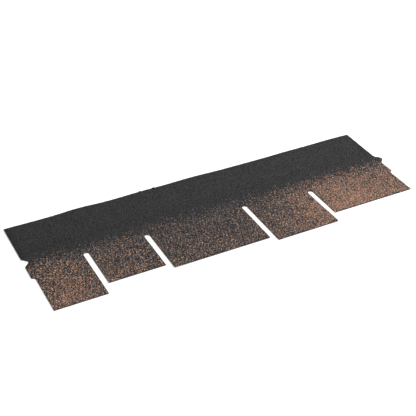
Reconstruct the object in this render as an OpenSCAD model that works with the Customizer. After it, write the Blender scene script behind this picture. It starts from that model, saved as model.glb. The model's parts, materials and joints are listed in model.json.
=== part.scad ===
// Asphalt roofing shingle strip with five tabs.
// One sheet of mineral-surfaced, bitumen-coated mat, die cut to its outline.
// X runs along the strip, +Y points up the roof and +Z is the weather side.
// The origin is under the middle of the strip's bounding box, on the underside.

/* [Strip] */
// Length of the strip between its two butting ends, without the tongue
strip_l = 1000; // [900:1:1250]
// Depth of the strip from its upper edge to the lower edge of its longest tabs
strip_w = 336; // [280:1:420]
// Thickness of the coated mat with its mineral surface
strip_t = 3; // [2:0.1:5]

/* [Tabs] */
// Spacing of the slots' centres from the left end: the fifth tab takes the rest
tab_pitch = [143, 156, 268, 184]; // [100:1:280]
// Height of one step in the staggered lower edge
tab_step = 17; // [0:0.5:24]

/* [Slots] */
// Width of the whole band along the upper edge, above the highest slots
head_w = 175; // [150:1:210]
// Width of each slot between two tabs
slot_w = 14; // [8:0.5:20]
// Width of the slot that two butted strips share, half on each strip
end_slot_w = 16; // [8:0.5:24]

/* [Tongue and notch] */
// Distance from the upper edge to the middle of the tongue and the notch
tongue_y = 148; // [120:1:150]
// Reach of the tongue past the right end
tongue_reach = 13; // [10:0.5:18]
// Radius of the tongue's nose
tongue_r = 6; // [4:0.5:8]
// Radius of the fillets at the tongue's root
root_r = 5; // [2:0.5:8]
// Slope of the tongue's flanks, measured from the strip's length
flank_angle = 45; // [35:1:60]
// Clearance left around a neighbour's tongue in the notch
tongue_gap = 0.5; // [0.2:0.1:1]

/* [Hidden] */
// Steps by which each tab's lower edge is raised above the longest tabs' edge
tab_level = [0, 2, 1, 0, 2];
// Steps by which each slot's head is lowered, from the left end's to the right end's
slot_level = [2, 0, 0, 0, 1, 2];

// Distance of the end of each tab's cell from the left end
function sum_to(v, n) = n < 0 ? 0 : v[n] + sum_to(v, n - 1);
cell_x = [0, for (i = [0:len(tab_pitch) - 1]) sum_to(tab_pitch, i), strip_l];
slot_widths = [for (i = [0:len(cell_x) - 1])
    i == 0 || i == len(cell_x) - 1 ? end_slot_w : slot_w];

// Length by which cutters run past the edges that they cut
over = 5;
// Steps in each of the tongue's arcs
arc_steps = 12;
$fn = 64;

// Points of an arc about c, from angle a0 to angle a1
function arc(c, r, a0, a1) = [for (i = [0:arc_steps])
    let (a = a0 + (a1 - a0) * i / arc_steps) c + r * [cos(a), sin(a)]];

// A tongue that stands on the line x = 0 and reaches towards +X, centred on y = 0.
// Its root fillets touch that line and the flanks, and the flanks touch the nose.
module tongue_outline(reach, nose_r, fillet_r) {
    lean = 90 - flank_angle;
    nose_x = reach - nose_r;
    root_y = (nose_r + fillet_r - (fillet_r - nose_x) * cos(lean)) / sin(lean);
    polygon(concat(
        [[-over, root_y]],
        arc([fillet_r, root_y], fillet_r, 180, 180 + lean),
        arc([nose_x, 0], nose_r, lean, -lean),
        arc([fillet_r, -root_y], fillet_r, 180 - lean, 180),
        [[-over, -root_y]]));
}

// The band and the five tabs, before slots are cut: x from the left end, y from the upper edge
module stepped_sheet() {
    for (i = [0:len(tab_level) - 1]) {
        tab_w = cell_x[i + 1] - cell_x[i];
        tab_d = strip_w - tab_level[i] * tab_step;
        translate([cell_x[i], -tab_d]) square([tab_w, tab_d]);
    }
}

// One slot, open at its lower end, with a round head
module slot(x, w, head_y) {
    translate([x, -head_y - w / 2]) circle(d = w);
    translate([x - w / 2, -strip_w - over]) square([w, strip_w + over - head_y - w / 2]);
}

// The slotted sheet and its notch
module strip_outline() {
    difference() {
        stepped_sheet();
        for (i = [0:len(cell_x) - 1])
            slot(cell_x[i], slot_widths[i], head_w + slot_level[i] * tab_step);
        translate([0, -tongue_y])
            tongue_outline(tongue_reach + tongue_gap, tongue_r + tongue_gap, root_r - tongue_gap);
    }
}

module shingle_strip() {
    color([0.26, 0.22, 0.2])
        translate([-(strip_l + tongue_reach) / 2, strip_w / 2, 0]) {
            linear_extrude(strip_t) strip_outline();
            translate([strip_l, -tongue_y, 0])
                linear_extrude(strip_t) tongue_outline(tongue_reach, tongue_r, root_r);
        }
}

shingle_strip();
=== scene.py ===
"""Looks of a five-tab asphalt roofing shingle strip, lying flat on a pale studio floor.

The strip is one die-cut sheet. Its visible parts are the bitumen mat, which stands for the
CAD solid, the crushed-stone granules pressed into its weather side, and a few lumps of
bitumen that the cutter left on its upper edge. The frame is the strip's own: +X along it
towards the end with the tongue, +Y up the roof and +Z out of the weather side.
"""

import json
import logging
import math
from dataclasses import dataclass
from enum import Enum
from typing import Any, Iterator, Optional

import bmesh
import bpy
import numpy as np
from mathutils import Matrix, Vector, noise


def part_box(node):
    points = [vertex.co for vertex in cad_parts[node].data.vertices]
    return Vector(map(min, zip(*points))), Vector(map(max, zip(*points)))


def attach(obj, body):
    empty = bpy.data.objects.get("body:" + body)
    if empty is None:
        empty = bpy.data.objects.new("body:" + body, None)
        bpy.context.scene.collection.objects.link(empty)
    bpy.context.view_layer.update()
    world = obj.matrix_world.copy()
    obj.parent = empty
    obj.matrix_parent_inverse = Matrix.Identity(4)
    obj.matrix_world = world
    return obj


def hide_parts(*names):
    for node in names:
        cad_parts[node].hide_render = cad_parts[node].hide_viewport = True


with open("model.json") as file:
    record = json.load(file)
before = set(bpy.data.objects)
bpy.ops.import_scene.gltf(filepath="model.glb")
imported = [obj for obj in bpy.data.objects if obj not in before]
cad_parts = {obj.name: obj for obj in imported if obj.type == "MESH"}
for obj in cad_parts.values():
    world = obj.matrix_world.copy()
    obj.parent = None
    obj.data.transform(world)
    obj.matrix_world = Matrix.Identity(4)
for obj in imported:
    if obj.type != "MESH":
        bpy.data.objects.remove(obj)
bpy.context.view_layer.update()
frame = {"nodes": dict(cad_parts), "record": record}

NODE = "shingle_strip"
BODY = "root"
MM = 0.001

# Distance below which two points are one
MERGE = 0.01 * MM
# Turn below which two faces are one flat face
FLAT = math.radians(1)
# Upward part of a face's normal above which the face looks up
UPWARD = 0.5
# Numbers of the axes
X, Y, Z = range(3)
# Distance between the rows of a triangular grid, for each unit of its spacing
ROW_PITCH = math.sqrt(3) / 2
# Numbers of a Mix node's colour sockets: its two inputs and its output
MIX_FIRST, MIX_SECOND, MIX_RESULT = 6, 7, 2

# Stops of a colour ramp: where each starts, and its sRGB hex colour
Stops = tuple[tuple[float, str], ...]

log = logging.getLogger("shingle_strip")


def linear(hex_colour: str) -> tuple[float, float, float, float]:
    """Turns an sRGB hex colour into linear RGBA.

    Args:
        hex_colour: six hex digits, with or without a leading #.

    Returns:
        Linear red, green and blue, and an alpha of 1.
    """
    digits = hex_colour.lstrip("#")
    channels = [int(digits[i:i + 2], 16) / 255 for i in (0, 2, 4)]
    toe, slope, lift, gamma = 0.04045, 12.92, 0.055, 2.4
    out = [c / slope if c <= toe else ((c + lift) / (1 + lift)) ** gamma for c in channels]
    return (out[0], out[1], out[2], 1.0)


def add_node(tree: bpy.types.NodeTree, kind: str, inputs: Optional[dict[Any, Any]] = None,
             **settings: Any) -> bpy.types.Node:
    """Adds a node with its settings, values and links.

    Args:
        tree: the node tree that gets the node.
        kind: the node's type name.
        inputs: socket name or index to a value, or to the output socket that feeds it.
        settings: the node's own properties.

    Returns:
        The new node.
    """
    node = tree.nodes.new(kind)
    for name, value in settings.items():
        setattr(node, name, value)
    for name, value in (inputs or {}).items():
        socket = node.inputs[name]
        if isinstance(value, bpy.types.NodeSocket):
            tree.links.new(value, socket)
        else:
            socket.default_value = value
    return node


def set_stops(ramp: bpy.types.Node, stops: Stops) -> None:
    """Fills a colour ramp.

    Args:
        ramp: a ColorRamp node.
        stops: its stops, in order.
    """
    elements = ramp.color_ramp.elements
    while len(elements) > 1:
        elements.remove(elements[-1])
    for i, (position, colour) in enumerate(stops):
        element = elements[0] if i == 0 else elements.new(position)
        element.position = position
        element.color = linear(colour)


def new_material(name: str) -> tuple[bpy.types.Material, bpy.types.NodeTree, bpy.types.Node]:
    """Makes an empty node material.

    Args:
        name: the material's name.

    Returns:
        The material, its node tree and its output node.
    """
    material = bpy.data.materials.new(name)
    material.use_nodes = True
    material.node_tree.nodes.clear()
    out = add_node(material.node_tree, "ShaderNodeOutputMaterial")
    return material, material.node_tree, out


def seat(name: str, mesh: bpy.types.Mesh) -> bpy.types.Object:
    """Makes a piece that rides on the strip's body.

    Args:
        name: the piece's name.
        mesh: its mesh, which is already in its place.

    Returns:
        The piece.
    """
    piece = bpy.data.objects.new(name, mesh)
    bpy.context.scene.collection.objects.link(piece)
    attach(piece, BODY)
    return piece


def smooth_step(low: float, high: float, values: np.ndarray) -> np.ndarray:
    """Rises smoothly from 0 at low to 1 at high."""
    t = np.clip((values - low) / (high - low), 0.0, 1.0)
    return t * t * (3 - 2 * t)


def crown(away: np.ndarray) -> np.ndarray:
    """Falls smoothly from 1 where away is 0 to 0 where away is 1 or more."""
    return 0.5 + 0.5 * np.cos(math.pi * np.clip(away, 0.0, 1.0))


@dataclass(frozen=True)
class Pattern:
    """A smooth random pattern in the strip's plane: its strength, its grain and its layer.

    The grain is the size of its blobs. Patterns on different layers have nothing in common.
    """

    strength: float
    grain: float
    layer: float

    def values(self, points: np.ndarray) -> np.ndarray:
        """Samples the pattern at each point, from about -0.6 to 0.6 of its strength."""
        scaled = points[:, :2] / self.grain
        return self.strength * np.array([noise.noise((x, y, self.layer)) for x, y in scaled.tolist()])


class StripOutline:
    """The strip's outline and its landmarks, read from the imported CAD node.

    Attributes:
        low, high: the corners of the strip's box.
        corners: x and y of the outline's corners, in order.
        slot_x: x of the middle of each slot, from the left.
        slot_head: y of the slots' upper ends.
    """

    def __init__(self, node: str) -> None:
        """Reads the outline of a node's upper face.

        Args:
            node: name of the CAD node.
        """
        low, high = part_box(node)
        self.low, self.high = Vector(low), Vector(high)
        self.corners = self._upper_loop(frame["nodes"][node])
        openings = frame["record"]["physics"]["openings"]
        slots = [o["box_m"] for o in openings if o["name"].startswith("slot")]
        self.slot_x = sorted((box[0][0] + box[1][0]) / 2 for box in slots)
        self.slot_head = max(box[1][1] for box in slots)

    def _upper_loop(self, cad: bpy.types.Object) -> np.ndarray:
        """Finds the corners of the largest face that looks up, on a merged copy of a mesh.

        Args:
            cad: the CAD node's object, which is left as it is.

        Returns:
            x and y of each corner, in order.
        """
        bm = bmesh.new()
        bm.from_mesh(cad.data)
        bmesh.ops.remove_doubles(bm, verts=bm.verts, dist=MERGE)
        bmesh.ops.dissolve_limit(bm, angle_limit=FLAT, verts=bm.verts, edges=bm.edges)
        top = max(bm.faces, key=lambda f: f.calc_area() * (f.normal.z > UPWARD))
        corners = np.array([v.co[:2] for v in top.verts])
        bm.free()
        return corners

    def sides(self) -> Iterator[tuple[np.ndarray, np.ndarray]]:
        """Pairs the start and the end of each side of the outline."""
        return zip(self.corners, np.roll(self.corners, -1, axis=0))

    def contains(self, points: np.ndarray) -> np.ndarray:
        """Tests which points lie inside the outline, by counting crossed sides.

        Args:
            points: x and y of each point, in the first two columns.

        Returns:
            One boolean for each point.
        """
        inside = np.zeros(len(points), bool)
        x, y = points[:, 0], points[:, 1]
        for (ax, ay), (bx, by) in self.sides():
            if ay == by:
                continue
            crosses = (ay > y) != (by > y)
            inside ^= crosses & (x < ax + (y - ay) * (bx - ax) / (by - ay))
        return inside

    def edge_distance(self, points: np.ndarray) -> np.ndarray:
        """Measures how far points are from the nearest side of the outline.

        Args:
            points: x and y of each point, in the first two columns.

        Returns:
            One distance for each point.
        """
        nearest = np.full(len(points), np.inf)
        for a, b in self.sides():
            run = b - a
            t = np.clip((points[:, :2] - a) @ run / (run @ run), 0.0, 1.0)
            gap = np.hypot(*(points[:, :2] - a - t[:, None] * run).T)
            nearest = np.minimum(nearest, gap)
        return nearest

    def along(self, points: np.ndarray) -> np.ndarray:
        """Measures each point's distance from the left end."""
        return points[:, 0] - self.low.x

    def tab_of(self, points: np.ndarray) -> np.ndarray:
        """Finds the tab that each point is on or over, counted from 0 at the left."""
        return np.searchsorted(self.slot_x, points[:, 0])


@dataclass(frozen=True)
class Wave:
    """A low wave along the upper edge: its crest's distance from the left end, reach, height."""

    crest: float
    reach: float
    height: float


@dataclass(frozen=True)
class Curl:
    """A part of one tab that curls up: its tab, its middle, how far it reaches and how high."""

    tab: int
    middle: tuple[float, float]
    reach: float
    height: float


@dataclass
class SheetRelief:
    """How far the flexible sheet lifts off the floor.

    Attributes:
        depth: how far below the upper edge the waves die out.
        ripple: faint bumps that run everywhere.
    """

    outline: StripOutline
    waves: tuple[Wave, ...] = (
        Wave(0 * MM, 80 * MM, 0.6 * MM),
        Wave(190 * MM, 80 * MM, 2.7 * MM),
        Wave(370 * MM, 90 * MM, 1.5 * MM),
        Wave(500 * MM, 110 * MM, 2.3 * MM),
        Wave(800 * MM, 80 * MM, 1.2 * MM),
        Wave(940 * MM, 150 * MM, 2.1 * MM),
    )
    curls: tuple[Curl, ...] = (
        Curl(2, (-200 * MM, -168 * MM), 60 * MM, 1.8 * MM),
        Curl(3, (238 * MM, -151 * MM), 45 * MM, 1.4 * MM),
        Curl(4, (495 * MM, 26 * MM), 20 * MM, 1.7 * MM),
    )
    depth: float = 110 * MM
    ripple: Pattern = Pattern(0.12 * MM, grain=35 * MM, layer=11.3)

    def lift(self, points: np.ndarray) -> np.ndarray:
        """Finds the sheet's lift over the floor.

        Args:
            points: x and y of each point, in the first two columns.

        Returns:
            The lift at each point, never below 0.
        """
        along = self.outline.along(points)
        fade = smooth_step(self.outline.high.y - self.depth, self.outline.high.y, points[:, 1])
        lift = np.zeros(len(points))
        for wave in self.waves:
            lift += wave.height * fade * crown(np.abs(along - wave.crest) / wave.reach)
        tab = self.outline.tab_of(points)
        for curl in self.curls:
            away = np.hypot(*(points[:, :2] - curl.middle).T) / curl.reach
            lift += np.where(tab == curl.tab, curl.height * crown(away), 0.0)
        ripple = self.ripple.strength / 2 + self.ripple.values(points)
        return lift + np.clip(ripple, 0.0, None)


class GranuleKind(Enum):
    """Kinds of granule in the blend, by colour."""

    CHARCOAL = 0
    BLACK = 1
    UMBER = 2
    TAN = 3
    CREAM = 4


@dataclass(frozen=True)
class Drop:
    """A place along the strip, the share of light granules there, and cream's part of them."""

    along: float
    light: float
    cream: float = 0.16


@dataclass(frozen=True)
class Streak:
    """A dark line along the strip: its depth, its reach either side and its share of black."""

    depth: float
    reach: float
    share: float


@dataclass
class GranuleBlend:
    """Which granules lie where: charcoal on the band, and a brown blend that fades in below it.

    A fringe is the depth below the upper edge at which a kind starts to fade in, and the depth
    at which it is all there.

    Attributes:
        drops: the share of light granules along the strip, which changes evenly between them.
        umber_share, black_share: the shares of two dark kinds in the blend.
        edge_gain, edge_rise: the rise of the light granules' share towards the lower edge, as a
            part of what it is, and as a share to add.
        wander: how the fringes wander up and down.
        cloud, clump: large and small patches with more or fewer light granules.
    """

    outline: StripOutline
    drops: tuple[Drop, ...] = (
        Drop(0 * MM, 0.135),
        Drop(70 * MM, 0.225),
        Drop(120 * MM, 0.115),
        Drop(200 * MM, 0.11),
        Drop(270 * MM, 0.055),
        Drop(350 * MM, 0.035),
        Drop(420 * MM, 0.04),
        Drop(500 * MM, 0.035),
        Drop(570 * MM, 0.055),
        Drop(620 * MM, 0.1),
        Drop(670 * MM, 0.17),
        Drop(710 * MM, 0.265, cream=0.12),
        Drop(760 * MM, 0.335, cream=0.06),
        Drop(820 * MM, 0.44, cream=0.04),
        Drop(870 * MM, 0.39, cream=0.04),
        Drop(930 * MM, 0.325, cream=0.04),
        Drop(1000 * MM, 0.28, cream=0.06),
    )
    light_fringe: tuple[float, float] = (134 * MM, 206 * MM)
    umber_fringe: tuple[float, float] = (120 * MM, 194 * MM)
    cream_fringe: tuple[float, float] = (150 * MM, 215 * MM)
    umber_share: float = 0.26
    black_share: float = 0.18
    streak: Streak = Streak(108 * MM, reach=22 * MM, share=0.3)
    edge_gain: float = 0.22
    edge_rise: float = 0.095
    wander: Pattern = Pattern(10 * MM, grain=22 * MM, layer=3.1)
    cloud: Pattern = Pattern(0.35, grain=30 * MM, layer=7.7)
    clump: Pattern = Pattern(0.25, grain=3.5 * MM, layer=19.9)

    def kinds(self, points: np.ndarray) -> np.ndarray:
        """Finds each granule's kind.

        Args:
            points: x, y and drawn lot of each granule.

        Returns:
            The value of each granule's GranuleKind.
        """
        depth = self.outline.high.y - points[:, 1]
        wandered = depth + self.wander.values(points)
        light = self._light(points, depth) * smooth_step(*self.light_fringe, wandered)
        cream = light * self._dropped(points, "cream") * smooth_step(*self.cream_fringe, wandered)
        umber = self.umber_share * smooth_step(*self.umber_fringe, wandered)
        streak = np.clip(1 - np.abs(wandered - self.streak.depth) / self.streak.reach, 0, None)
        black = self.black_share * smooth_step(*self.umber_fringe, wandered)
        black += self.streak.share * streak
        lot = points[:, 2]
        kinds = np.full(len(points), GranuleKind.CHARCOAL.value)
        kinds[lot > 1 - black] = GranuleKind.BLACK.value
        kinds[lot < light + umber] = GranuleKind.UMBER.value
        kinds[lot < light] = GranuleKind.TAN.value
        kinds[lot < cream] = GranuleKind.CREAM.value
        return kinds

    def _dropped(self, points: np.ndarray, value: str) -> np.ndarray:
        """Finds one of the drops' values at each point's place along the strip."""
        places = [drop.along for drop in self.drops]
        return np.interp(self.outline.along(points), places, [getattr(d, value) for d in self.drops])

    def _light(self, points: np.ndarray, depth: np.ndarray) -> np.ndarray:
        """Finds the share of light granules below the fringe, with its clouds and clumps.

        Args:
            points: the granules.
            depth: each granule's depth below the upper edge.

        Returns:
            One share for each granule.
        """
        start, end = self.light_fringe[1], self.outline.high.y - self.outline.low.y
        down = np.clip((depth - start) / (end - start), 0, 1)
        patches = 1 + self.cloud.values(points) + self.clump.values(points)
        share = self._dropped(points, "light") * (1 + self.edge_gain * down)
        return (share + self.edge_rise * down) * patches


@dataclass(frozen=True)
class GranuleFinish:
    """Crushed stone with a ceramic pigment fired on to it.

    The kiln leaves each granule one flat, dull colour, so the coat is a speckle of separate
    colours. The broken faces are finely pitted and glint nowhere. The stops of a palette share
    a kind's granules out among its colours.
    """

    name: str = "ceramic_coated_crushed_stone"
    charcoal: Stops = ((0.0, "#1C1B1D"), (0.30, "#262527"), (0.65, "#2D2B2D"), (0.88, "#37363A"))
    black: Stops = ((0.0, "#0F0F11"), (0.50, "#181719"))
    umber: Stops = ((0.0, "#6E5E58"), (0.50, "#877873"))
    tan: Stops = ((0.0, "#AF7655"), (0.37, "#D3A37F"), (0.76, "#B5907E"))
    cream: Stops = ((0.0, "#EFC39D"),)
    roughness: float = 0.82
    specular: float = 0.11
    mottle_size: float = 0.5 * MM
    mottle_detail: float = 2.0
    mottle_range: tuple[float, float] = (0.8, 1.2)
    pit_depth: float = 0.05 * MM

    def make(self) -> bpy.types.Material:
        """Makes the material, which reads each granule's own kind and shade.

        Returns:
            The material.
        """
        material, tree, out = new_material(self.name)
        place = add_node(tree, "ShaderNodeTexCoord")
        mottle = add_node(tree, "ShaderNodeTexNoise",
                          {"Vector": place.outputs["Object"], "Scale": 1 / self.mottle_size,
                           "Detail": self.mottle_detail})
        darkest, lightest = self.mottle_range
        value = add_node(tree, "ShaderNodeMapRange",
                         {"Value": mottle.outputs["Fac"], "To Min": darkest, "To Max": lightest})
        tinted = add_node(tree, "ShaderNodeHueSaturation",
                          {"Color": self._colour(tree), "Value": value.outputs[0]})
        pits = add_node(tree, "ShaderNodeBump",
                        {"Height": mottle.outputs["Fac"], "Distance": self.pit_depth})
        shader = add_node(tree, "ShaderNodeBsdfPrincipled",
                          {"Base Color": tinted.outputs[0], "Roughness": self.roughness,
                           "Specular IOR Level": self.specular, "Normal": pits.outputs[0]})
        tree.links.new(shader.outputs[0], out.inputs[0])
        return material

    def _colour(self, tree: bpy.types.NodeTree) -> bpy.types.NodeSocket:
        """Adds the palettes, and the mixes that take the one of the granule's kind.

        Args:
            tree: the material's node tree.

        Returns:
            The colour socket.
        """
        kind = add_node(tree, "ShaderNodeAttribute", attribute_name="kind")
        shade = add_node(tree, "ShaderNodeAttribute", attribute_name="shade")
        colour = None
        palettes = (self.charcoal, self.black, self.umber, self.tan, self.cream)
        for granule, stops in zip(GranuleKind, palettes):
            ramp = add_node(tree, "ShaderNodeValToRGB", {0: shade.outputs["Fac"]})
            ramp.color_ramp.interpolation = "CONSTANT"
            set_stops(ramp, stops)
            if colour is None:
                colour = ramp.outputs["Color"]
                continue
            halfway = granule.value - 0.5
            reached = add_node(tree, "ShaderNodeMath", {0: kind.outputs["Fac"], 1: halfway},
                               operation="GREATER_THAN")
            mixed = add_node(tree, "ShaderNodeMix",
                             {0: reached.outputs[0], MIX_FIRST: colour,
                              MIX_SECOND: ramp.outputs["Color"]}, data_type="RGBA")
            colour = mixed.outputs[MIX_RESULT]
        return colour


@dataclass(frozen=True)
class BitumenFinish:
    """Limestone-filled bitumen, coated hot on to the mat.

    It is near black and dull. The sand or stone dust caught in its skin shows as paler grit,
    which lies thicker in some places than in others. Real grit of 0.1 to 0.5 mm is too fine to
    show, so it is drawn 0.7 to 0.9 mm across.
    """

    name: str
    base: str
    grit: str
    grit_size: float
    grit_share: float
    roughness: float
    grit_height: float = 0.15 * MM
    drift_size: float = 12 * MM
    drift_detail: float = 3.0

    def make(self) -> bpy.types.Material:
        """Makes the material on Object coordinates.

        Returns:
            The material.
        """
        material, tree, out = new_material(self.name)
        place = add_node(tree, "ShaderNodeTexCoord")
        grains = add_node(tree, "ShaderNodeTexVoronoi",
                          {"Vector": place.outputs["Object"], "Scale": 1 / self.grit_size})
        drift = add_node(tree, "ShaderNodeTexNoise",
                         {"Vector": place.outputs["Object"], "Scale": 1 / self.drift_size,
                          "Detail": self.drift_detail})
        grey = add_node(tree, "ShaderNodeSeparateColor", {0: grains.outputs["Color"]})
        # The drift is a half on average, so its product with twice the share averages the share
        limit = add_node(tree, "ShaderNodeMath",
                         {0: drift.outputs["Fac"], 1: 2 * self.grit_share}, operation="MULTIPLY")
        is_grit = add_node(tree, "ShaderNodeMath",
                           {0: grey.outputs[0], 1: limit.outputs[0]}, operation="LESS_THAN")
        colour = add_node(tree, "ShaderNodeMix",
                          {0: is_grit.outputs[0], MIX_FIRST: linear(self.base),
                           MIX_SECOND: linear(self.grit)}, data_type="RGBA")
        bump = add_node(tree, "ShaderNodeBump",
                        {"Height": grains.outputs["Distance"], "Distance": self.grit_height},
                        invert=True)
        shader = add_node(tree, "ShaderNodeBsdfPrincipled",
                          {"Base Color": colour.outputs[MIX_RESULT], "Roughness": self.roughness,
                           "Normal": bump.outputs[0]})
        tree.links.new(shader.outputs[0], out.inputs[0])
        return material


@dataclass(frozen=True)
class PaperFinish:
    """Uncoated white background paper: fully matte, so it mirrors nothing of what lies on it."""

    name: str = "matte_white_paper"
    colour: str = "#F4F4F3"
    roughness: float = 0.95
    specular: float = 0.1

    def make(self) -> bpy.types.Material:
        """Makes the material.

        Returns:
            The material.
        """
        material, tree, out = new_material(self.name)
        shader = add_node(tree, "ShaderNodeBsdfPrincipled",
                          {"Base Color": linear(self.colour), "Roughness": self.roughness,
                           "Specular IOR Level": self.specular})
        tree.links.new(shader.outputs[0], out.inputs[0])
        return material


class SheetSide(Enum):
    """Sides of the sheet, by their place in its list of materials."""

    BED = 0
    EDGE = 1
    BACK = 2


@dataclass
class BitumenMat:
    """The reinforced bitumen sheet under the granules, with its cut edges and its back.

    Attributes:
        bed_drop: how far the bed lies below the strip's full height, for the granules' sake.
        grid: the distance between the cuts that let the sheet bend.
    """

    outline: StripOutline
    relief: SheetRelief
    bed_drop: float = 0.55 * MM
    grid: float = 8 * MM
    # Soft when the granules were pressed in: near black in the gaps between them
    bed: BitumenFinish = BitumenFinish(
        "filled_bitumen_bed", base="#141312", grit="#2C2A28",
        grit_size=0.9 * MM, grit_share=0.35, roughness=0.7)
    # Sheared by the cutter: dull black, flecked by the stone dust that the cut laid bare
    edge: BitumenFinish = BitumenFinish(
        "sheared_bitumen_edge", base="#1A1817", grit="#3B3532",
        grit_size=0.8 * MM, grit_share=0.3, roughness=0.6)
    # Dusted with sand, so that strips in a pack don't stick: dark grey and matte, with pale flecks
    back: BitumenFinish = BitumenFinish(
        "sand_dusted_bitumen_back", base="#2A2827", grit="#6B655E",
        grit_size=0.7 * MM, grit_share=0.4, roughness=0.8)

    def build(self) -> bpy.types.Object:
        """Builds, dresses and seats the mat.

        Returns:
            The finished piece, which stands for the CAD node.
        """
        bm = bmesh.new()
        top = self.outline.high.z - self.bed_drop
        bm.faces.new([bm.verts.new((x, y, top)) for x, y in self.outline.corners])
        self._cut_grid(bm)
        back = bmesh.ops.extrude_face_region(bm, geom=bm.faces[:])
        moved = [e for e in back["geom"] if isinstance(e, bmesh.types.BMVert)]
        bmesh.ops.translate(bm, verts=moved, vec=(0, 0, self.outline.low.z - top))
        bmesh.ops.recalc_face_normals(bm, faces=bm.faces[:])
        self._sort_faces(bm)
        lifts = self.relief.lift(np.array([v.co[:2] for v in bm.verts]))
        for vert, lift in zip(bm.verts, lifts):
            vert.co.z += lift
        for face in bm.faces:
            side = self._side(face)
            face.material_index = side.value
            face.smooth = side is not SheetSide.EDGE
        mesh = bpy.data.meshes.new("bitumen_mat")
        bm.to_mesh(mesh)
        bm.free()
        for finish in (self.bed, self.edge, self.back):
            mesh.materials.append(finish.make())
        piece = seat("bitumen_mat", mesh)
        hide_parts(NODE)
        return piece

    def _cut_grid(self, bm: bmesh.types.BMesh) -> None:
        """Cuts the sheet along a square grid, so that it can bend.

        Args:
            bm: the sheet's mesh.
        """
        for axis, normal in enumerate(((1, 0, 0), (0, 1, 0))):
            start, end = self.outline.low[axis], self.outline.high[axis]
            for place in np.arange(start + self.grid, end - self.grid / 2, self.grid):
                point = tuple(place * n for n in normal)
                bmesh.ops.bisect_plane(bm, geom=bm.verts[:] + bm.edges[:] + bm.faces[:],
                                       dist=MERGE, plane_co=point, plane_no=normal)

    def _sort_faces(self, bm: bmesh.types.BMesh) -> None:
        """Sorts the faces by place, because the extrusion makes its sides in any order.

        Args:
            bm: the sheet's mesh.
        """
        places = {f: tuple(round(c / MERGE) for c in f.calc_center_median()) for f in bm.faces}
        for rank, face in enumerate(sorted(places, key=places.get)):
            face.index = rank
        bm.faces.sort()

    def _side(self, face: bmesh.types.BMFace) -> SheetSide:
        """Tells from its normal which side of the sheet a face is on."""
        flat = SheetSide.BED if face.normal.z > 0 else SheetSide.BACK
        return flat if abs(face.normal.z) > UPWARD else SheetSide.EDGE


class ChipForm(Enum):
    """Shapes of crushed granule, by the number of their sides."""

    SHARD = 3
    BLOCK = 4
    LUMP = 5


@dataclass
class ChipArrays:
    """Many chips as arrays.

    Attributes:
        vertices: x, y and z of each vertex.
        corners: the vertex at each corner of each face.
        totals: the number of corners of each face.
        granule: the granule that each vertex belongs to.
    """

    vertices: np.ndarray
    corners: np.ndarray
    totals: np.ndarray
    granule: np.ndarray

    def mesh(self, name: str) -> bpy.types.Mesh:
        """Fills a mesh from the arrays.

        Args:
            name: the mesh's name.

        Returns:
            The mesh.
        """
        mesh = bpy.data.meshes.new(name)
        mesh.vertices.add(len(self.vertices))
        mesh.vertices.foreach_set("co", self.vertices.astype(np.float32).ravel())
        mesh.loops.add(len(self.corners))
        mesh.loops.foreach_set("vertex_index", self.corners.astype(np.int32))
        mesh.polygons.add(len(self.totals))
        starts = np.concatenate([[0], np.cumsum(self.totals)[:-1]])
        mesh.polygons.foreach_set("loop_start", starts.astype(np.int32))
        mesh.update(calc_edges=True)
        mesh.validate()
        return mesh


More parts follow.
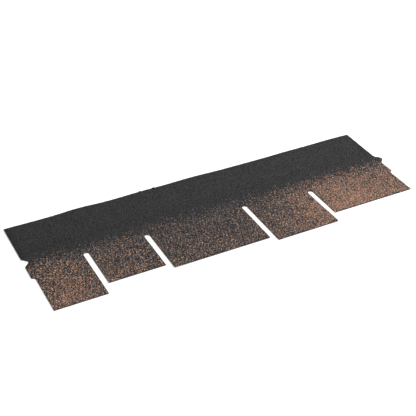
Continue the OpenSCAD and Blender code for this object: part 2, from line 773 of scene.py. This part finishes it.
@dataclass
class GranuleCoat:
    """The granules pressed into the weather side, as joined crushed-stone chips.

    Real grit is 0.5 to 2 mm across, which is too fine to show. It is drawn 2 to 3 mm across, as
    coarse as it needs to be for single granules to show. Each granule has a lot from 0 to 1,
    which settles its kind.

    Attributes:
        jitter: how far a granule may lie off the grid, for each unit of spacing.
        radius, height: a chip's least and greatest size.
        stretch: a chip's least and greatest width, for each unit of its radius.
        scatter: how much higher than its neighbours a chip may stand.
        forms: the share of each ChipForm.
        top_radius: a chip's radius at its top, for each unit of that at its foot.
        chipping: how far a chip's corners may be off, for each unit of its size.
        spread: the step of the lots from column to column, and from row to row. It keeps
            granules of one kind apart.
        unevenness: how far a lot may be off that spread.
        mottle: patches in which the granules have other shades.
        map_shrink: a granule's size on its map, for each unit of its own.
        map_lean: how far the map moves along X and Y for each unit of height.
    """

    outline: StripOutline
    relief: SheetRelief
    blend: GranuleBlend
    spacing: float = 2.05 * MM
    jitter: float = 0.42
    edge_margin: float = 0.35 * MM
    radius: tuple[float, float] = (1.0 * MM, 1.6 * MM)
    height: tuple[float, float] = (0.7 * MM, 1.2 * MM)
    stretch: tuple[float, float] = (0.8, 1.2)
    tilt: float = math.radians(16)
    scatter: float = 0.15 * MM
    forms: tuple[float, ...] = (0.4, 0.4, 0.2)
    top_radius: float = 0.58
    chipping: float = 0.16
    spread: tuple[float, float] = (0.7549, 0.5698)
    unevenness: float = 0.3
    mottle: Pattern = Pattern(0.3, grain=7 * MM, layer=5.3)
    map_shrink: float = 0.6
    map_lean: tuple[float, float] = (0.5, 0.3)
    band_pieces: int = 3
    seed: int = 20

    def build(self) -> list[bpy.types.Object]:
        """Builds every granule piece.

        Returns:
            The pieces: the band's lengths and then the tabs, each from the left.
        """
        rng = np.random.default_rng(self.seed)
        points = self._places(rng)
        finish = GranuleFinish().make()
        return [self._piece(name, points[chosen], finish, rng) for name, chosen in self._zones(points)]

    def _places(self, rng: np.random.Generator) -> np.ndarray:
        """Spreads the granules over the strip on a jittered triangular grid.

        Args:
            rng: source of the lots' unevenness and of the jitter.

        Returns:
            x, y and drawn lot of each granule.
        """
        rows = np.arange(self.outline.low.y, self.outline.high.y, self.spacing * ROW_PITCH)
        columns = np.arange(self.outline.low.x, self.outline.high.x, self.spacing)
        x, y = np.meshgrid(columns, rows)
        x[1::2] += self.spacing / 2
        row, column = np.indices(x.shape)
        lot = column * self.spread[0] + row * self.spread[1]
        lot += rng.uniform(-self.unevenness, self.unevenness, x.shape)
        points = np.stack([x.ravel(), y.ravel(), lot.ravel() % 1.0], axis=1)
        points[:, :2] += rng.uniform(-self.jitter, self.jitter, (len(points), 2)) * self.spacing
        points = points[self.outline.contains(points)]
        return points[self.outline.edge_distance(points) > self.edge_margin]

    def _zones(self, points: np.ndarray) -> list[tuple[str, np.ndarray]]:
        """Splits the granules into the band's lengths and the tabs.

        Args:
            points: the granules.

        Returns:
            Name and mask of each zone.
        """
        on_tab = points[:, 1] < self.outline.slot_head
        length = self.outline.high.x - self.outline.low.x
        part = (self.outline.along(points) / length * self.band_pieces).astype(int)
        part = np.clip(part, 0, self.band_pieces - 1)
        zones = [(f"granules_band_{i + 1}", ~on_tab & (part == i)) for i in range(self.band_pieces)]
        tab = self.outline.tab_of(points)
        for i in range(len(self.outline.slot_x) + 1):
            zones.append((f"granules_tab_{i + 1}", on_tab & (tab == i)))
        return zones

    def _piece(self, name: str, points: np.ndarray, finish: bpy.types.Material,
               rng: np.random.Generator) -> bpy.types.Object:
        """Builds one zone's granules as a joined mesh.

        Args:
            name: the piece's name.
            points: the zone's granules.
            finish: the granules' material.
            rng: source of the granules' random shapes and shades.

        Returns:
            The finished piece.
        """
        chips = self._chips(points, rng)
        mesh = chips.mesh(name)
        shade = rng.random(len(points)) + self.mottle.values(points)
        values = {"kind": self.blend.kinds(points), "shade": np.clip(shade, 0.0, 1.0)}
        for key, data in values.items():
            attribute = mesh.attributes.new(key, "FLOAT", "POINT")
            attribute.data.foreach_set("value", data[chips.granule].astype(np.float32))
        self._plan_map(mesh, chips, points)
        mesh.materials.append(finish)
        return seat(name, mesh)

    def _chips(self, points: np.ndarray, rng: np.random.Generator) -> ChipArrays:
        """Makes a chip for each granule, form by form.

        Args:
            points: the granules.
            rng: source of the chips' forms, sizes and turns.

        Returns:
            The chips.
        """
        forms = rng.choice([form.value for form in ChipForm], len(points), p=self.forms)
        vertices, corners, totals, granule = [], [], [], []
        offset = 0
        for form in ChipForm:
            unit, faces = self._chip(form)
            index = np.flatnonzero(forms == form.value)
            vertices.append(self._placed(unit, points[index], rng).reshape(-1, 3))
            starts = offset + np.arange(len(index)) * len(unit)
            corners.append((starts[:, None] + np.concatenate(faces)).ravel())
            totals.append(np.tile([len(face) for face in faces], len(index)))
            granule.append(np.repeat(index, len(unit)))
            offset += len(index) * len(unit)
        return ChipArrays(*(np.concatenate(part) for part in (vertices, corners, totals, granule)))

    def _chip(self, form: ChipForm) -> tuple[np.ndarray, list[list[int]]]:
        """Makes one chip of unit radius and unit height, narrower at its top.

        Args:
            form: the chip's shape.

        Returns:
            Its vertices and its faces' vertex numbers.
        """
        bm = bmesh.new()
        bmesh.ops.create_cone(bm, cap_ends=True, segments=form.value, radius1=1.0,
                              radius2=self.top_radius, depth=1.0)
        bm.verts.index_update()
        vertices = np.array([v.co[:] for v in bm.verts])
        faces = [[v.index for v in f.verts] for f in bm.faces]
        bm.free()
        return vertices, faces

    def _placed(self, unit: np.ndarray, points: np.ndarray, rng: np.random.Generator) -> np.ndarray:
        """Chips, sizes, turns, tilts and places a copy of a chip at each point.

        Args:
            unit: the chip's vertices.
            points: where the copies go.
            rng: source of the random sizes and turns.

        Returns:
            The vertices of every copy, in an array of copies by vertices by 3.
        """
        n = len(points)
        wide = rng.uniform(*self.radius, n)
        size = np.stack([wide * rng.uniform(*self.stretch, n), wide * rng.uniform(*self.stretch, n),
                         rng.uniform(*self.height, n)], axis=1)
        shape = unit[None] + rng.uniform(-self.chipping, self.chipping, (n,) + unit.shape)
        shape = shape * size[:, None, :]
        turn = rng.uniform(0, 2 * math.pi, n)
        lean_x, lean_y = rng.uniform(-self.tilt, self.tilt, (2, n))
        shape = self._turned(shape, turn, X, Y)
        shape = self._turned(shape, lean_x, Y, Z)
        shape = self._turned(shape, lean_y, X, Z)
        # The tallest chip, upright and unchipped, has its top at the strip's full height
        level = self.outline.high.z + self.relief.lift(points) - self.height[1] / 2
        place = np.column_stack([points[:, :2], level + rng.uniform(0, self.scatter, n)])
        return shape + place[:, None, :]

    def _turned(self, shape: np.ndarray, angle: np.ndarray, a: int, b: int) -> np.ndarray:
        """Turns each copy by its own angle.

        Args:
            shape: the vertices of every copy.
            angle: the angle of each copy.
            a: the axis that the turn starts from.
            b: the axis that the turn goes towards.

        Returns:
            The turned vertices.
        """
        cos, sin = np.cos(angle)[:, None], np.sin(angle)[:, None]
        out = shape.copy()
        out[..., a] = cos * shape[..., a] - sin * shape[..., b]
        out[..., b] = sin * shape[..., a] + cos * shape[..., b]
        return out

    def _plan_map(self, mesh: bpy.types.Mesh, chips: ChipArrays, points: np.ndarray) -> None:
        """Adds the piece's own map: the granules from above, shrunk so that none covers another.

        The map leans with height, so that a chip's upright sides have room on it too.

        Args:
            mesh: the piece's mesh.
            chips: the chips that it was made from.
            points: the granules.
        """
        middles = points[chips.granule, :2]
        away = chips.vertices[:, :2] - middles
        away += (chips.vertices[:, 2:] - self.outline.high.z) * self.map_lean
        plan = middles + self.map_shrink * away
        low, high = plan.min(axis=0), plan.max(axis=0)
        plan = ((plan - low) / (high - low))[chips.corners]
        layer = mesh.uv_layers.new(name="OFBake")
        layer.uv.foreach_set("vector", plan.astype(np.float32).ravel())


@dataclass(frozen=True)
class Burr:
    """A lump of bitumen at the upper edge: its place, its length and how high it stands."""

    along: float
    length: float
    height: float


@dataclass
class EdgeBurrs:
    """The few lumps of bitumen that the cutter left on the upper edge.

    Attributes:
        depth: a lump's size across the edge.
        inset: how far a lump's middle lies in from the edge.
        lumpiness: how far a lump may be off its round shape, for each unit of its size.
        fineness: how fine that roughness is, in blobs to a radius.
        pattern_gap: how far apart two lumps' patterns lie, for each metre between the lumps.
    """

    outline: StripOutline
    relief: SheetRelief
    burrs: tuple[Burr, ...] = (
        Burr(359 * MM, 5.0 * MM, 2.5 * MM),
        Burr(397 * MM, 7.0 * MM, 2.3 * MM),
    )
    depth: float = 3.6 * MM
    inset: float = 1.2 * MM
    lumpiness: float = 0.25
    fineness: float = 1.7
    pattern_gap: float = 900.0
    # Squeezed out of the edge while warm: black, with little stone dust in its skin
    finish: BitumenFinish = BitumenFinish(
        "squeezed_bitumen", base="#161514", grit="#2E2C2B",
        grit_size=0.8 * MM, grit_share=0.3, roughness=0.6)

    def build(self) -> bpy.types.Object:
        """Builds the lumps as one piece.

        Returns:
            The finished piece.
        """
        bm = bmesh.new()
        for burr in self.burrs:
            self._add(bm, burr)
        mesh = bpy.data.meshes.new("edge_burrs")
        bm.to_mesh(mesh)
        bm.free()
        mesh.materials.append(self.finish.make())
        return seat("edge_burrs", mesh)

    def _add(self, bm: bmesh.types.BMesh, burr: Burr) -> None:
        """Adds one lump, its lower half sunk into the upper edge.

        Args:
            bm: the lumps' mesh.
            burr: the lump's place and size.
        """
        place = np.array([[self.outline.low.x + burr.along, self.outline.high.y - self.inset]])
        middle = Vector((*place[0], self.outline.high.z + self.relief.lift(place)[0]))
        ball = bmesh.ops.create_icosphere(bm, subdivisions=2, radius=1.0)["verts"]
        for vert in ball:
            spot = vert.co * self.fineness + middle * self.pattern_gap
            vert.co *= 1 + self.lumpiness * noise.noise(spot)
            vert.co = middle + Vector((vert.co.x * burr.length / 2, vert.co.y * self.depth / 2,
                                       vert.co.z * burr.height))


@dataclass(frozen=True)
class Softbox:
    """A square area light that faces the strip: its name, its place, its side and its power."""

    name: str
    place: tuple[float, float, float]
    side: float
    watts: float


@dataclass
class Studio:
    """A plain pale floor, soft lights and the camera.

    Attributes:
        sky: the strength of the white surround.
        aim: x and y of the spot on the weather side that the camera looks at.
        distance: how far the camera is from that spot.
        azimuth: its place round the strip in degrees, 0 where it looks along +Y.
        elevation: its height over the strip, in degrees.
        roll: its turn about its own line of sight, in degrees.
        lens, sensor: its focal length and its sensor's width, in millimetres.
    """

    outline: StripOutline
    floor_side: float = 12.0
    paper: PaperFinish = PaperFinish()
    sky: float = 0.95
    softboxes: tuple[Softbox, ...] = (
        Softbox("key_softbox", (1.6, 1.0, 2.2), side=2.0, watts=66.0),
        Softbox("fill_softbox", (-1.8, -1.6, 2.4), side=2.6, watts=14.0),
    )
    aim: tuple[float, float] = (-23.7 * MM, 23.9 * MM)
    distance: float = 2.342
    azimuth: float = -27.64
    elevation: float = 34.8
    roll: float = 0.41
    lens: float = 80.95
    sensor: float = 36.0
    clip_end: float = 50.0

    def build(self) -> None:
        """Builds the floor, the surround, the lights and the camera."""
        self._floor()
        self._surround()
        for softbox in self.softboxes:
            self._hang(softbox)
        self._camera()
        bpy.context.scene.view_settings.view_transform = "Standard"

    def _floor(self) -> None:
        """Lays the floor under the strip."""
        bm = bmesh.new()
        bmesh.ops.create_grid(bm, x_segments=1, y_segments=1, size=self.floor_side / 2)
        bmesh.ops.translate(bm, verts=bm.verts, vec=(0, 0, self.outline.low.z))
        mesh = bpy.data.meshes.new("studio_floor")
        bm.to_mesh(mesh)
        bm.free()
        mesh.materials.append(self.paper.make())
        floor = bpy.data.objects.new("studio_floor", mesh)
        bpy.context.scene.collection.objects.link(floor)

    def _surround(self) -> None:
        """Sets a soft white surround."""
        world = bpy.data.worlds.new("studio")
        world.use_nodes = True
        world.node_tree.nodes.clear()
        out = add_node(world.node_tree, "ShaderNodeOutputWorld")
        sky = add_node(world.node_tree, "ShaderNodeBackground",
                       {"Color": linear("#FFFFFF"), "Strength": self.sky})
        world.node_tree.links.new(sky.outputs[0], out.inputs[0])
        bpy.context.scene.world = world

    def _hang(self, softbox: Softbox) -> None:
        """Hangs a softbox and turns it to the origin.

        Args:
            softbox: the light's name, place, side and power.
        """
        data = bpy.data.lights.new(softbox.name, "AREA")
        data.size, data.energy = softbox.side, softbox.watts
        light = bpy.data.objects.new(softbox.name, data)
        light.location = softbox.place
        light.rotation_euler = (-Vector(softbox.place)).to_track_quat("-Z", "Y").to_euler()
        bpy.context.scene.collection.objects.link(light)

    def _camera(self) -> None:
        """Sets up the camera and makes it the scene's own."""
        azimuth, elevation = math.radians(self.azimuth), math.radians(self.elevation)
        back = Vector((math.sin(azimuth) * math.cos(elevation),
                       -math.cos(azimuth) * math.cos(elevation), math.sin(elevation)))
        data = bpy.data.cameras.new("camera")
        data.lens, data.sensor_width, data.clip_end = self.lens, self.sensor, self.clip_end
        camera = bpy.data.objects.new("camera", data)
        camera.location = Vector((*self.aim, self.outline.high.z)) + back * self.distance
        camera.rotation_euler = back.to_track_quat("Z", "Y").to_euler()
        camera.rotation_euler.rotate_axis("Z", math.radians(self.roll))
        bpy.context.scene.collection.objects.link(camera)
        bpy.context.scene.camera = camera


def main() -> None:
    """Builds the strip's visible pieces and the studio round them, and reports each piece."""
    logging.basicConfig(level=logging.INFO, format="%(name)s: %(message)s")
    outline = StripOutline(NODE)
    relief = SheetRelief(outline)
    pieces = [BitumenMat(outline, relief).build()]
    pieces += GranuleCoat(outline, relief, GranuleBlend(outline)).build()
    pieces.append(EdgeBurrs(outline, relief).build())
    Studio(outline).build()
    for piece in pieces:
        log.info("%s: %d faces", piece.name, len(piece.data.polygons))


if __name__ == "__main__":
    main()
